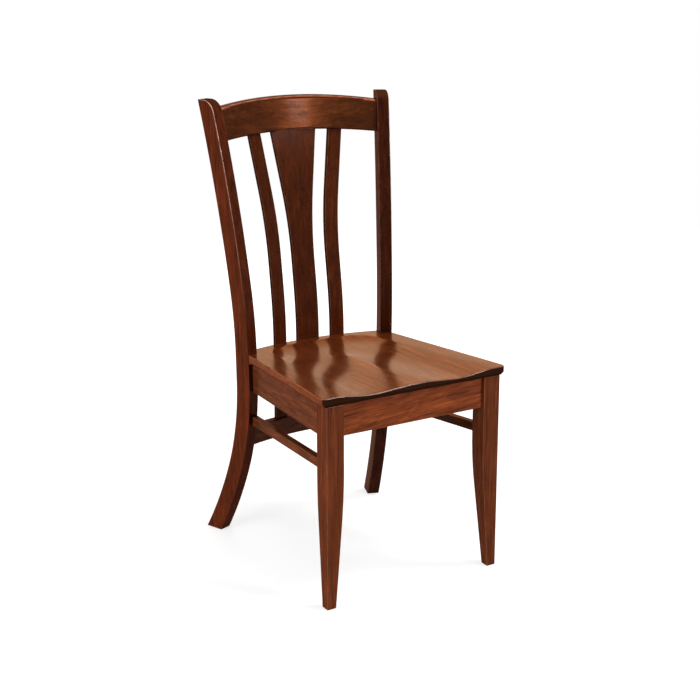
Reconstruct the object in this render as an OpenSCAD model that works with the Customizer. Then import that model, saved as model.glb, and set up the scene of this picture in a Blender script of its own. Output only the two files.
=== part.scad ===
// Side chair in hardwood: sabre rear posts, bowed crest rail, vase splat with two side slats,
// saddled plank seat on an apron frame, tapered front legs and two side stretchers.
// Millimetres. +Z is up, the front of the chair faces -Y, the floor is z = 0,
// and the origin is on the floor at the middle of the whole chair.

/* [Frame] */
// Height of the seat's front edge
seat_h = 460; // [430:1:480]
// Height of the rear posts
post_h = 1011; // [980:1:1040]
// Width across the outer faces of the front legs
leg_span = 432; // [410:1:450]
// Width across the rear posts' outer front corners at the seat
post_span = 383; // [370:1:395]
// Distance from the front legs' front faces to the rear posts' front corners
frame_d = 387; // [370:1:400]
// Plan radius of the bowed back
bow_r = 552; // [520:1:600]
// Clearance round tenons and notches
fit = 0.15; // [0.1:0.05:0.3]

/* [Seat] */
// Thickness of the seat
seat_t = 20; // [18:0.5:24]
// Backward slope of the seat in degrees
seat_slope = 1.6; // [0:0.1:3]
// Width of the seat at its front edge
seat_w = 458.6; // [440:0.2:470]
// Overhang of the seat past the front legs
seat_lip = 4.2; // [1:0.1:12]
// Radius of the seat's front corners
seat_corner_r = 11; // [6:0.5:18]
// Height of the bevel under the seat's edge
bevel_h = 6.5; // [3:0.5:9]
// Depth of the bevel under the seat's edge
bevel_d = 5.5; // [3:0.5:8]
// Radius of the two thigh hollows
hollow_r = 420; // [380:5:460]
// Depth of the two thigh hollows
hollow_depth = 7; // [5:0.5:8]
// Distance of a hollow from the centre line at the front edge
hollow_front = 97; // [90:1:105]
// Distance of a hollow from the centre line at its rear end
hollow_rear = 60; // [50:1:70]
// Distance from the front edge to the rear end of a hollow's axis
hollow_len = 348; // [320:1:355]

/* [Rear posts] */
// Width of a post, seen from the front
post_w = 29.3; // [28:0.1:34]
// Thickness of a post, seen from the side
post_t = 40; // [38:0.5:44]
// Outward lean of a post in degrees
post_lean = 0.94; // [0:0.02:1.2]
// Height where the lower bend starts
low_bend_z = 380; // [370:1:390]
// Radius of the lower bend
low_bend_r = 690; // [660:5:760]
// Angle of the lower bend
low_bend_a = 19.5; // [17:0.1:21]
// Radius of the sweep towards the foot
foot_bend_r = 1000; // [900:10:1200]
// Distance from the seat's front height down to the start of the upper bend
high_bend_drop = 20; // [12:1:30]
// Radius of the bend above the seat
high_bend_r = 1230; // [1150:10:1300]
// Angle of the bend above the seat
high_bend_a = 7.5; // [6.5:0.1:8]
// Radius of the sweep towards the top
top_bend_r = 4300; // [4000:50:4800]
// Radius of the round front corner at the top
top_round_r = 26; // [15:1:28]

/* [Back] */
// Thickness of the splat and the slats
slat_t = 10; // [8:0.5:12]
// Front of the splat at the seat, behind the posts' front corners
slat_back = 64.2; // [62:0.2:68]
// Rake of the splat and the crest rail in degrees
rake = 8.4; // [7.8:0.1:9]
// Radius of the bend in the splat and the slats
slat_bend_r = 900; // [800:10:1000]
// Half the width of the splat at the seat
splat_half = 28.6; // [26:0.1:31]
// Gap between the splat and a slat
slat_gap = 31.5; // [28:0.5:34]
// Width of a slat
slat_w = 32.5; // [28:0.5:35]
// Height where the splat starts to flare
flare_z = 640; // [620:1:660]
// Radius of the flare
flare_r = 1100; // [1000:10:1200]
// Angle of the flare in degrees
flare_a = 7.9; // [6.5:0.1:8.5]
// Depth of the housings that take the splat and the slats
housing = 12; // [8:1:14]
// Thickness of the crest rail
crest_t = 22; // [20:0.5:24]
// Height of the crest rail at the middle
crest_h = 79; // [65:1:90]
// Distance of the crest rail's top below the tops of the posts
crest_drop = 4; // [0:1:10]
// Radius of the arch of the lower edge
crest_low_r = 1800; // [1500:50:2400]
// Radius of the crown of the upper edge
crest_top_r = 1450; // [1300:50:2000]
// Thickness of the lower back rail
low_rail_t = 21; // [20:0.5:22]
// Height of the lower back rail
low_rail_h = 35; // [30:1:40]
// Height of the lower back rail's underside
low_rail_z = 225; // [215:1:235]

/* [Legs and rails] */
// Side of a front leg at the top
leg_w = 41; // [38:0.5:44]
// Side of a front leg at the foot
leg_foot = 21.5; // [18:0.5:30]
// Height of the middle of the bend where the leg's taper starts
taper_z = 245; // [220:1:260]
// Radius of that bend
taper_r = 1400; // [600:50:1500]
// Height of the aprons
apron_h = 69; // [60:1:75]
// Thickness of the aprons
apron_t = 16; // [14:0.5:17]
// Front apron's face behind the legs' front faces
apron_front_set = 7.4; // [5:0.1:10]
// Side apron's face inside the legs' outer faces
apron_side_set = 5.3; // [4:0.1:7]
// Side apron's face inside the post's outer corner
apron_post_set = 12; // [11:0.1:12.5]
// Rear apron's face behind the posts' front corners
apron_rear_set = 27; // [26:0.5:29]
// Height of the rear apron
rear_apron_h = 60; // [50:1:69]
// Thickness of the side stretchers
stretcher_t = 15.2; // [13:0.1:16]
// Height of the side stretchers
stretcher_h = 20; // [18:0.5:24]
// Height of a stretcher's top at the front leg
stretcher_top = 319; // [310:1:330]
// Drop of a stretcher's top from the leg to the post
stretcher_drop = 20; // [10:1:25]
// Stretcher's face inside the leg's outer face
stretcher_leg_set = 4; // [3:0.1:6]
// Stretcher's face inside the post's outer corner
stretcher_post_set = 12.6; // [12:0.1:13.4]

/* [Tenons] */
// Thickness of the rail tenons
tenon_t = 8; // [6:0.5:9]
// Length of the rail tenons
tenon_l = 18; // [14:0.5:19]
// Shoulder above and below a rail tenon
tenon_shoulder = 10; // [8:0.5:12]
// Shoulder above and below a stretcher tenon
small_shoulder = 3; // [2:0.5:4]

/* [Corner blocks] */
// Height of a corner block
block_h = 28; // [24:1:32]
// Length of a block along the front or rear apron
block_x = 52; // [48:1:58]
// Length of a block along the side apron
block_y = 64; // [60:1:70]
// Diameter of a screw
screw_d = 4; // [3:0.5:4.5]
// Diameter of a screw's head
head_d = 8; // [7:0.5:9]
// Height of a screw's head
head_h = 3; // [2:0.5:4]
// Length of a screw in the piece that it holds
screw_bite = 11; // [8:0.5:13]
// Depth of wood under a seat screw's head
screw_wood = 18; // [14:1:20]
// Distance from an apron to a screw's head
screw_reach = 9; // [8:0.5:11]

/* [Hidden] */
$fn = 64;

wood = [0.36, 0.19, 0.11];
wood_light = [0.50, 0.28, 0.18];
wood_raw = [0.66, 0.50, 0.34];
steel = [0.72, 0.72, 0.70];

// Cutting blocks are this large
big = 700;
// Points along an arc of the posts and slats
arc_steps = 6;
// A tenon starts this far inside its rail
root = 4;
// The posts and legs start this far below the floor and are cut level
spare = 6;

// Angle of a post's face to the chair's front, square to the bowed rails
toe = asin(post_span / 2 / bow_r);
high_bend_z = seat_h - high_bend_drop;

// Points on the arc of radius r round c, from angle a to angle b above the horizontal,
// on the side that faces the front; negative angles lie below c
function arc(c, r, a, b, steps = arc_steps) =
    [for (i = [0:steps]) let (t = a + (b - a) * i / steps) c + r * [-cos(t), sin(t)]];

// Centres of a post's four bends as [depth, height]; the front line is [0, z] between them
high_c = [high_bend_r, high_bend_z];
top_c = high_c + (top_bend_r - high_bend_r) * [cos(high_bend_a), -sin(high_bend_a)];
low_c = [low_bend_r, low_bend_z];
foot_c = low_c + (foot_bend_r - low_bend_r) * [cos(low_bend_a), sin(low_bend_a)];

// Angle on a bend of centre c and radius r at height z
function bend_a(c, r, z) = asin((z - c[1]) / r);
// Depth of the post's front line below the seat, at height z in the lower bend
function low_u(z) = low_bend_r - sqrt(low_bend_r ^ 2 - (low_bend_z - z) ^ 2);

// Rearmost point of the foot, and the middle of the chair's depth
foot_back = foot_c[0] - (foot_bend_r - post_t) * cos(bend_a(foot_c, foot_bend_r - post_t, 0));
back_y = frame_d + foot_back * cos(toe) + post_w * sin(toe);
front_y = -seat_lip - (seat_t - bevel_h) * sin(seat_slope);
mid_y = (back_y + front_y) / 2;

// Front face of the splat at its middle: upright at the seat, then bent, then raked
slat_y = frame_d + slat_back;
bend_end_z = high_bend_z + slat_bend_r * sin(rake);
bend_end_y = slat_y + slat_bend_r * (1 - cos(rake));
function splat_front(z) = bend_end_y + (z - bend_end_z) * tan(rake);
slat_mid = splat_half + slat_gap + slat_w / 2;
// Turn of a slat's face, which follows the bow
slat_turn = asin(slat_mid / bow_r);

crest_top = post_h - crest_drop;
crest_low = crest_top - crest_h;
crest_set = (crest_t - slat_t) / 2;
low_rail_set = (low_rail_t - slat_t) / 2;
low_rail_y = slat_y - low_rail_set;
low_rail_top = low_rail_z + low_rail_h;

// Underside of the seat at depth y
function seat_under(y) = seat_h - seat_t / cos(seat_slope) - (y + seat_lip) * tan(seat_slope);
// Half the seat's width at its front edge, and where its side meets the post's corner
seat_half = seat_w / 2;
seat_rear_half = post_span / 2 - 0.5;
seat_side_a = atan((seat_half - seat_rear_half) / (frame_d + seat_lip));
board_count = 5;
board_w = seat_w / board_count;
// Gap between the seat's back edge and the slats
seat_back_gap = 0.5;
// Gap between the seat and the posts
post_gap = 0.3;

// Outer face of a left rail from the leg's back face to the post's front face at height z,
// as [start, end, angle]
function lean_x(z) = (z - seat_h) * tan(post_lean);
function post_point(v, u, z) = [-post_span / 2 - lean_x(z) + v * cos(toe) - u * sin(toe),
                                frame_d + v * sin(toe) + u * cos(toe)];
function rail_angle(a, b) = atan((b[0] - a[0]) / (b[1] - a[1]));
apron_a = [-leg_span / 2 + apron_side_set, leg_w];
apron_b = post_point(apron_post_set, 0, seat_h - seat_t - apron_h / 2);
apron_turn = rail_angle(apron_a, apron_b);
stretcher_end_z = stretcher_top - stretcher_drop;
stretcher_a = [-leg_span / 2 + stretcher_leg_set, leg_w];
stretcher_b = post_point(stretcher_post_set, low_u(stretcher_end_z), stretcher_end_z);
stretcher_turn = rail_angle(stretcher_a, stretcher_b);
stretcher_fall = atan(stretcher_drop / (stretcher_b[1] - leg_w));

// Inner face of the side apron at depth y
function apron_in(y) = apron_a[0] + apron_t / cos(apron_turn) + (y - leg_w) * tan(apron_turn);

// Depth along a post's inner face where a bowed rail's middle line meets it:
// the bow has its front at y and the rail's middle line has radius r, at height z
function meet_u(y, r, z) =
    let (d = post_point(post_w, 0, z) - [0, y - bow_r], e = [-sin(toe), cos(toe)], k = d * e)
    -k + sqrt(k * k - d * d + r * r);

crest_mid_z = crest_low + crest_h * 0.4;
crest_u = meet_u(splat_front(crest_mid_z) - crest_set, bow_r + crest_t / 2, crest_mid_z);
crest_tenon_h = crest_h - 3.5 * tenon_shoulder;
low_rail_mid_z = low_rail_z + low_rail_h / 2;
low_rail_u = meet_u(low_rail_y, bow_r + low_rail_t / 2, low_rail_mid_z);
rear_apron_y = frame_d + apron_rear_set;

// Placing

// The whole chair, with its origin at the middle of its depth
module placed() translate([0, -mid_y, 0]) children();

// A left piece, or its mirror image on the right
module on_side(right) mirror([right ? 1 : 0, 0, 0]) children();

module on_both_sides() {
    on_side(false) children();
    on_side(true) children();
}

// The left post's own frame: x across its front face, y into its depth
module post_frame()
    translate([-post_span / 2, frame_d, seat_h]) rotate([0, -post_lean, 0])
        translate([0, 0, -seat_h]) rotate([0, 0, toe]) children();

// The seat's frame: z = 0 on its top, y = 0 at its front edge
module seat_frame() translate([0, -seat_lip, seat_h]) rotate([-seat_slope, 0, 0]) children();

// An outline of [depth, height] points, extruded across the chair
module side_extrude(width) rotate([90, 0, 90]) linear_extrude(width) children();

// An outline of [across, height] points, extruded through the chair's depth
module front_extrude(from, depth)
    translate([0, from + depth, 0]) rotate([90, 0, 0]) linear_extrude(depth) children();

// Everything above the seat's underside
module above_frame() seat_frame() translate([-big / 2, -big / 4, -seat_t]) cube([big, big, big]);

// Everything below the floor
module below_floor() translate([-big, -big, -big]) cube([2 * big, 3 * big, big]);

// Everything outside the post's inner face
module outside_post() post_frame() translate([post_w - big, -big, -spare]) cube([big, 3 * big, 2 * big]);

// Rear posts

module post_outline() {
    round_a = asin((post_h - top_round_r - top_c[1]) / (top_bend_r - top_round_r));
    round_c = top_c + (top_bend_r - top_round_r) * [-cos(round_a), sin(round_a)];
    back_top_a = bend_a(top_c, top_bend_r - post_t, post_h);
    front_foot_a = bend_a(foot_c, foot_bend_r, -spare);
    back_foot_a = bend_a(foot_c, foot_bend_r - post_t, -spare);
    polygon(concat(
        arc(foot_c, foot_bend_r, front_foot_a, -low_bend_a),
        arc(low_c, low_bend_r, -low_bend_a, 0),
        arc(high_c, high_bend_r, 0, high_bend_a),
        arc(top_c, top_bend_r, high_bend_a, round_a),
        arc(round_c, top_round_r, round_a, 90, 2 * arc_steps),
        arc(top_c, top_bend_r - post_t, back_top_a, high_bend_a),
        arc(high_c, high_bend_r - post_t, high_bend_a, 0),
        arc(low_c, low_bend_r - post_t, 0, -low_bend_a),
        arc(foot_c, foot_bend_r - post_t, -low_bend_a, back_foot_a)));
}

// The post's outline between two distances from its outer face
module post_board(from, to) post_frame() translate([from, 0, 0]) side_extrude(to - from) post_outline();

// A tenon in the post's inner face, at depth u and height z
module inner_tenon(u, z, h, tilt, grow = 0)
    post_frame() translate([post_w - tenon_l - grow, u, z]) rotate([-tilt, 0, 0])
        translate([0, -tenon_t / 2 - grow, -h / 2 - grow])
            cube([tenon_l + root + grow, tenon_t + 2 * grow, h + 2 * grow]);

// A tenon in the post's front face, at distance v from its outer face and height z
module front_tenon(v, u, z, h, grow = 0)
    post_frame() translate([v - tenon_t / 2 - grow, u - root, z - h / 2 - grow])
        cube([tenon_t + 2 * grow, tenon_l + root + grow, h + 2 * grow]);

module crest_tenon(grow = 0) inner_tenon(crest_u, crest_mid_z, crest_tenon_h, rake, grow);

module low_rail_tenon(grow = 0)
    inner_tenon(low_rail_u, low_rail_mid_z, low_rail_h - 2 * small_shoulder - root, 0, grow);

module rear_apron_tenon(grow = 0)
    inner_tenon((apron_rear_set + apron_t / 2) / cos(toe) - post_w * tan(toe),
                seat_under(rear_apron_y) - rear_apron_h / 2, rear_apron_h - 2 * tenon_shoulder, 0, grow);

module side_apron_post_tenon(grow = 0)
    front_tenon(apron_post_set + apron_t / 2, 0, seat_under(frame_d) - apron_h / 2,
                apron_h - 2 * tenon_shoulder, grow);

module stretcher_post_tenon(grow = 0) {
    z = stretcher_end_z - stretcher_h / 2;
    front_tenon(stretcher_post_set + stretcher_t / 2, low_u(z), z, stretcher_h - 2 * small_shoulder, grow);
}

module rear_post() color(wood) difference() {
    post_board(0, post_w);
    below_floor();
    crest_tenon(fit);
    low_rail_tenon(fit);
    rear_apron_tenon(fit);
    side_apron_post_tenon(fit);
    stretcher_post_tenon(fit);
}

// Front legs

module side_apron_leg_tenon(grow = 0)
    translate([apron_a[0] + (apron_t - tenon_t) / 2 - grow, leg_w - tenon_l - grow,
               seat_under(leg_w) - apron_h + tenon_shoulder - grow])
        cube([tenon_t + 2 * grow, tenon_l + root + grow, apron_h - 2 * tenon_shoulder + 2 * grow]);

module front_apron_tenon(grow = 0)
    translate([-leg_span / 2 + leg_w - tenon_l - grow, apron_front_set + (apron_t - tenon_t) / 2 - grow,
               seat_under(0) - apron_h + tenon_shoulder - grow])
        cube([tenon_l + root + grow, tenon_t + 2 * grow, apron_h - 2 * tenon_shoulder + 2 * grow]);

module stretcher_leg_tenon(grow = 0)
    translate([stretcher_a[0] + (stretcher_t - tenon_t) / 2 - grow, leg_w - tenon_l - grow,
               stretcher_top - stretcher_h + small_shoulder - grow])
        cube([tenon_t + 2 * grow, tenon_l + root + grow, stretcher_h - 2 * small_shoulder + 2 * grow]);

// Outline of a leg: plumb on one side, and on the other tapered to the foot below a slow bend
taper_a = atan((leg_w - leg_foot) / taper_z);
bend_half = taper_r * tan(taper_a / 2);
module leg_outline() polygon(concat(
    [[0, 0], [leg_foot, 0]],
    [for (i = [arc_steps:-1:0]) let (t = taper_a * i / arc_steps)
        [leg_w - taper_r * (1 - cos(t)), taper_z + bend_half - taper_r * sin(t)]],
    [[leg_w, seat_h], [0, seat_h]]));

module front_leg() color(wood) difference() {
    intersection() {
        translate([-leg_span / 2, 0, 0]) side_extrude(leg_w) leg_outline();
        translate([-leg_span / 2, 0, 0]) front_extrude(0, leg_w) leg_outline();
    }
    above_frame();
    side_apron_leg_tenon(fit);
    front_apron_tenon(fit);
    stretcher_leg_tenon(fit);
}

// Back

// Half the flare's extra width at height z
flare_end_z = flare_z + flare_r * sin(flare_a);
function flare_edge(x, low, high) = concat(
    [[x, low]],
    [for (i = [0:arc_steps]) let (t = flare_a * i / arc_steps)
        [x + flare_r * (1 - cos(t)), flare_z + flare_r * sin(t)]],
    [[x + flare_r * (1 - cos(flare_a)) + (high - flare_end_z) * tan(flare_a), high]]);

function reversed(p) = [for (i = [len(p) - 1:-1:0]) p[i]];
function flipped(p) = [for (q = p) [-q[0], q[1]]];

// The thickness of a slat in side view, from height low to height high
module slat_side(low, high, grow) {
    front = bend_end_y + (high - bend_end_z) * tan(rake);
    thick = slat_t / cos(rake);
    c = [slat_y + slat_bend_r, high_bend_z];
    polygon(concat(
        [[slat_y - grow, low]],
        arc(c, slat_bend_r + grow, 0, rake),
        [[front - grow / cos(rake), high], [front + thick + grow / cos(rake), high]],
        reversed(arc(c, slat_bend_r - slat_t - grow, 0, rake)),
        [[slat_y + slat_t + grow, low]]));
}

// Height of the crest rail's lower edge at distance x from the middle
function crest_low_at(x) = crest_low - (crest_low_r - sqrt(crest_low_r ^ 2 - x ^ 2));

module slat_slab(low, high, grow) translate([-big / 2, 0, 0]) side_extrude(big) slat_side(low, high, grow);

module splat_shape(grow = 0) {
    low = low_rail_top - housing - grow;
    high = crest_low + housing + grow;
    intersection() {
        slat_slab(low, high, grow);
        front_extrude(0, big) polygon(concat(
            flare_edge(splat_half + grow, low, high),
            reversed(flipped(flare_edge(splat_half + grow, low, high)))));
    }
}

// The left slat, turned to follow the bow
module slat_shape(grow = 0) {
    low = low_rail_top - housing - grow;
    high = crest_low_at(slat_mid + splat_half) + housing + grow;
    inner = splat_half + slat_gap;
    intersection() {
        translate([0, slat_y - bow_r, 0]) rotate([0, 0, slat_turn]) translate([0, bow_r - slat_y, 0])
            slat_slab(low, high, grow);
        mirror([1, 0, 0]) front_extrude(0, big) polygon(concat(
            flare_edge(inner + slat_w + grow, low, high),
            reversed(flare_edge(inner - grow, low, high))));
    }
}

module center_splat() color(wood) splat_shape();

module slat() color(wood) slat_shape();

// A bowed rail in its own frame: front at the origin, from height low to height high
module bowed_bar(thick, low, high) translate([0, -bow_r, low]) difference() {
    cylinder(r = bow_r + thick, h = high - low, $fn = 180);
    translate([0, 0, -1]) cylinder(r = bow_r, h = high - low + 2, $fn = 180);
    translate([-big, -2 * big, -1]) cube([2 * big, 2 * big, high - low + 2]);
}

// Front view of the crest rail: arched below, crowned above
module crest_outline() intersection() {
    translate([0, crest_top - crest_top_r]) circle(crest_top_r, $fn = 180);
    difference() {
        translate([-big / 2, crest_low - housing * 2]) square([big, crest_top - crest_low + housing * 4]);
        translate([0, crest_low - crest_low_r]) circle(crest_low_r, $fn = 180);
    }
}

module crest_rail() color(wood) {
    difference() {
        intersection() {
            translate([0, splat_front(crest_mid_z), crest_mid_z]) rotate([-rake, 0, 0])
                translate([0, -crest_set, 0]) bowed_bar(crest_t, -crest_h, crest_h);
            front_extrude(0, big) crest_outline();
        }
        on_both_sides() outside_post();
        splat_shape(fit);
        on_both_sides() slat_shape(fit);
    }
    on_both_sides() crest_tenon();
}

module lower_back_rail() color(wood) {
    difference() {
        translate([0, low_rail_y, 0]) bowed_bar(low_rail_t, low_rail_z, low_rail_top);
        on_both_sides() outside_post();
        splat_shape(fit);
        on_both_sides() slat_shape(fit);
    }
    on_both_sides() low_rail_tenon();
}

// Aprons and stretchers

module front_apron() color(wood) {
    x = -leg_span / 2 + leg_w;
    difference() {
        translate([x, apron_front_set, seat_under(0) - apron_h]) cube([-2 * x, apron_t, 2 * apron_h]);
        above_frame();
        on_both_sides() block_screw_front(fit);
    }
    on_both_sides() front_apron_tenon();
}

module rear_apron() color(wood) {
    difference() {
        translate([-big / 2, rear_apron_y, seat_under(rear_apron_y) - rear_apron_h])
            cube([big, apron_t, 2 * rear_apron_h]);
        above_frame();
        on_both_sides() outside_post();
        on_both_sides() block_screw_rear(fit);
    }
    on_both_sides() rear_apron_tenon();
}

module side_apron() color(wood) {
    difference() {
        intersection() {
            translate([apron_a[0], apron_a[1], 0]) rotate([0, 0, -apron_turn])
                translate([0, -leg_w, 0]) cube([apron_t, frame_d + leg_w / 2, seat_h]);
            seat_frame() translate([-big / 2, -big / 4, -seat_t - apron_h]) cube([big, big, apron_h]);
        }
        translate([-big / 2, leg_w - big, 0]) cube([big, big, big]);
        post_board(-big / 4, big / 4);
        block_screw_side_front(fit);
        block_screw_side_rear(fit);
    }
    side_apron_leg_tenon();
    side_apron_post_tenon();
}

module side_stretcher() color(wood) {
    difference() {
        translate([stretcher_a[0], leg_w, stretcher_top]) rotate([-stretcher_fall, 0, 0])
            rotate([0, 0, -stretcher_turn]) translate([0, -leg_w, -stretcher_h])
                cube([stretcher_t, frame_d + leg_w / 2, stretcher_h]);
        translate([-big / 2, leg_w - big, 0]) cube([big, big, big]);
        post_board(-big / 4, big / 4);
    }
    stretcher_leg_tenon();
    stretcher_post_tenon();
}

// Seat

module seat_outline() {
    r = seat_corner_r;
    t = seat_side_a;
    far = frame_d + 2 * slat_back;
    c = [seat_half - r * tan(t) - r / cos(t), r];
    corner = [for (i = [0:arc_steps]) let (a = -90 + (90 + t) * i / arc_steps) c + r * [cos(a), sin(a)]];
    half = concat(corner, [[seat_half - far * tan(t), far]]);
    intersection() {
        polygon(concat(half, reversed(flipped(half))));
        translate([0, seat_lip + slat_y - bow_r]) circle(bow_r - seat_back_gap, $fn = 180);
    }
}

// The bevel under an edge that runs along x at y = 0
module edge_bevel() rotate([90, 0, 90]) linear_extrude(2 * big, center = true) polygon([
    [-bevel_d, bevel_h - seat_t], [0, bevel_h - seat_t], [bevel_d, -seat_t],
    [bevel_d, -2 * seat_t], [-bevel_d, -2 * seat_t]]);

// One thigh hollow on the left: a round trough with a round rear end
module hollow() {
    rise = hollow_r - hollow_depth;
    turn = atan((hollow_front - hollow_rear) / hollow_len);
    translate([-hollow_rear, hollow_len, rise]) {
        sphere(hollow_r, $fn = 180);
        rotate([90, 0, turn]) cylinder(r = hollow_r, h = big, $fn = 180);
    }
}

module seat_blank() difference() {
    seat_frame() difference() {
        translate([0, 0, -seat_t]) linear_extrude(seat_t) seat_outline();
        edge_bevel();
        on_both_sides() translate([-seat_half, 0, 0]) rotate([0, 0, 90 - seat_side_a])
            mirror([0, 1, 0]) edge_bevel();
        on_both_sides() hollow();
    }
    on_both_sides() post_frame() translate([-big / 8, -post_gap, seat_h / 2])
        cube([big / 8 + post_w + post_gap, 2 * post_t, seat_h]);
    on_both_sides() seat_screw_front(fit);
    on_both_sides() seat_screw_rear(fit);
}

module seat_board(index) color(wood_light) intersection() {
    seat_blank();
    translate([-seat_half + (index - 1) * board_w, -big / 2, 0]) cube([board_w, 2 * big, big]);
}

// Corner blocks and their screws

// A screw along +z with the underside of its head at z = 0; grow widens it into its hole
module screw(length, grow = 0) {
    cylinder(d = screw_d + 2 * grow, h = length + grow);
    translate([0, 0, -head_h - grow * 2]) cylinder(d = head_d + 4 * grow, h = head_h + grow * 2);
}

// The same screw with the pocket that lets its head in
module screw_pocket(length) {
    screw(length, fit);
    translate([0, 0, -big / 8]) cylinder(d = head_d + 4 * fit, h = big / 8);
}

block_front_y = apron_front_set + apron_t;
block_mid_z = seat_under(leg_w) - block_h / 2;
block_rear_z = seat_under(rear_apron_y) - block_h / 2;
block_front_x = -leg_span / 2 + leg_w + block_x;
block_rear_x = -post_span / 2 + post_w + block_x;
front_screw_x = block_front_x - block_x / 2;
rear_screw_x = block_rear_x - block_x / 2.6;
side_front_y = leg_w + block_y / 3;
side_rear_y = frame_d - block_y / 3;

module place_front_screw()
    translate([front_screw_x, block_front_y + screw_reach, block_mid_z]) rotate([90, 0, 0]) children();

module place_rear_screw()
    translate([rear_screw_x, rear_apron_y - screw_reach, block_rear_z]) rotate([-90, 0, 0]) children();

module place_side_screw(y, z)
    translate([apron_in(y) + screw_reach, y, z]) rotate([0, -90, 0]) children();

module block_screw_front(grow = 0) place_front_screw() screw(screw_reach + screw_bite, grow);
module block_screw_rear(grow = 0) place_rear_screw() screw(screw_reach + screw_bite, grow);
module block_screw_side_front(grow = 0)
    place_side_screw(side_front_y, block_mid_z) screw(screw_reach + screw_bite, grow);
module block_screw_side_rear(grow = 0)
    place_side_screw(side_rear_y, block_rear_z) screw(screw_reach + screw_bite, grow);

// Seat screws stand square to the seat, beside the leg or the post
module place_seat_screw(x, y) translate([x, y, seat_under(y)]) rotate([-seat_slope, 0, 0])
    translate([0, 0, -screw_wood]) children();
seat_screw_front_x = -leg_span / 2 + leg_w + head_d;
seat_screw_front_y = leg_w + head_d / 2;
seat_screw_rear_x = -post_span / 2 + post_w + block_x / 2.6;
seat_screw_rear_y = frame_d - head_d;

module seat_screw_front(grow = 0)
    place_seat_screw(seat_screw_front_x, seat_screw_front_y) screw(screw_wood + screw_bite, grow);
module seat_screw_rear(grow = 0)
    place_seat_screw(seat_screw_rear_x, seat_screw_rear_y) screw(screw_wood + screw_bite, grow);

module block_prism(points, z) translate([0, 0, z - block_h / 2]) linear_extrude(2 * block_h) polygon(points);

module corner_block_front() color(wood_raw) difference() {
    block_prism([[block_front_x, block_front_y], [apron_in(block_front_y), block_front_y],
                 [apron_in(leg_w + block_y), leg_w + block_y]], block_mid_z);
    above_frame();
    translate([-leg_span / 2, 0, 0]) cube([leg_w + post_gap, leg_w + post_gap, seat_h]);
    place_front_screw() screw_pocket(screw_reach + screw_bite);
    place_side_screw(side_front_y, block_mid_z) screw_pocket(screw_reach + screw_bite);
    place_seat_screw(seat_screw_front_x, seat_screw_front_y) screw_pocket(screw_wood + screw_bite);
}

module corner_block_rear() color(wood_raw) difference() {
    block_prism([[block_rear_x, rear_apron_y], [apron_in(rear_apron_y), rear_apron_y],
                 [apron_in(frame_d - block_y), frame_d - block_y]], block_rear_z);
    above_frame();
    post_frame() translate([-big / 8, -post_gap, 0]) cube([big / 8 + post_w + post_gap, 2 * post_t, seat_h]);
    place_rear_screw() screw_pocket(screw_reach + screw_bite);
    place_side_screw(side_rear_y, block_rear_z) screw_pocket(screw_reach + screw_bite);
    place_seat_screw(seat_screw_rear_x, seat_screw_rear_y) screw_pocket(screw_wood + screw_bite);
}

module block_screws() color(steel) on_both_sides() {
    block_screw_front();
    block_screw_rear();
    block_screw_side_front();
    block_screw_side_rear();
}

module seat_screws() color(steel) on_both_sides() {
    seat_screw_front();
    seat_screw_rear();
}

placed() on_side(false) rear_post();  // rear_post_left
placed() on_side(true) rear_post();  // rear_post_right
placed() on_side(false) front_leg();  // front_leg_left
placed() on_side(true) front_leg();  // front_leg_right
placed() crest_rail();
placed() center_splat();
placed() on_side(false) slat();  // slat_left
placed() on_side(true) slat();  // slat_right
placed() lower_back_rail();
placed() front_apron();
placed() rear_apron();
placed() on_side(false) side_apron();  // side_apron_left
placed() on_side(true) side_apron();  // side_apron_right
placed() on_side(false) side_stretcher();  // side_stretcher_left
placed() on_side(true) side_stretcher();  // side_stretcher_right
placed() seat_board(1);  // seat_board_1
placed() seat_board(2);  // seat_board_2
placed() seat_board(3);  // seat_board_3
placed() seat_board(4);  // seat_board_4
placed() seat_board(5);  // seat_board_5
placed() on_side(false) corner_block_front();  // corner_block_front_left
placed() on_side(true) corner_block_front();  // corner_block_front_right
placed() on_side(false) corner_block_rear();  // corner_block_rear_left
placed() on_side(true) corner_block_rear();  // corner_block_rear_right
placed() block_screws();
placed() seat_screws();
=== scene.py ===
"""Looks of a hardwood side chair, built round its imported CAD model.

Pieces are shaped in millimetres in the chair's own frame, where y = 0 is the front of the front
legs, and are put into the model's frame in metres when they are dressed.
"""
import logging
import math
from dataclasses import dataclass
from enum import Enum
from functools import cache
from typing import Iterable, Iterator, Optional, Sequence, Union

import bmesh
import bpy
from bmesh.types import BMEdge, BMesh, BMFace, BMVert
from bpy.types import ID, Material, Node, NodeSocket, NodeTree, Object
from mathutils import Matrix, Vector


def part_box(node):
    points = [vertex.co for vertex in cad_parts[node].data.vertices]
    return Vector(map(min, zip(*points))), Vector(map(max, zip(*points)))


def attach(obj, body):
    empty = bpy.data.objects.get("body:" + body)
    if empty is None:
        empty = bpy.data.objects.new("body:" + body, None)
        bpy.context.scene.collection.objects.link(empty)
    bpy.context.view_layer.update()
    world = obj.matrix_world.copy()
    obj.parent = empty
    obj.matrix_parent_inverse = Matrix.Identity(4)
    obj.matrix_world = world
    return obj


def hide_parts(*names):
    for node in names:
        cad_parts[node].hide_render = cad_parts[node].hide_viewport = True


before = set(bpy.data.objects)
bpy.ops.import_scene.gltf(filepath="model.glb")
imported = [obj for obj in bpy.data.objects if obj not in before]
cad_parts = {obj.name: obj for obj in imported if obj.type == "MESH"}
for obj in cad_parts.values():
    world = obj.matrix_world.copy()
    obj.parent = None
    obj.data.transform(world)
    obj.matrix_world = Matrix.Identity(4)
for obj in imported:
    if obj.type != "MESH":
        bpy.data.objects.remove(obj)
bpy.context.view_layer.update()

Triple = tuple[float, float, float]
Color = tuple[float, float, float, float]
Value = Union[float, Sequence[float], NodeSocket]
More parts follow.
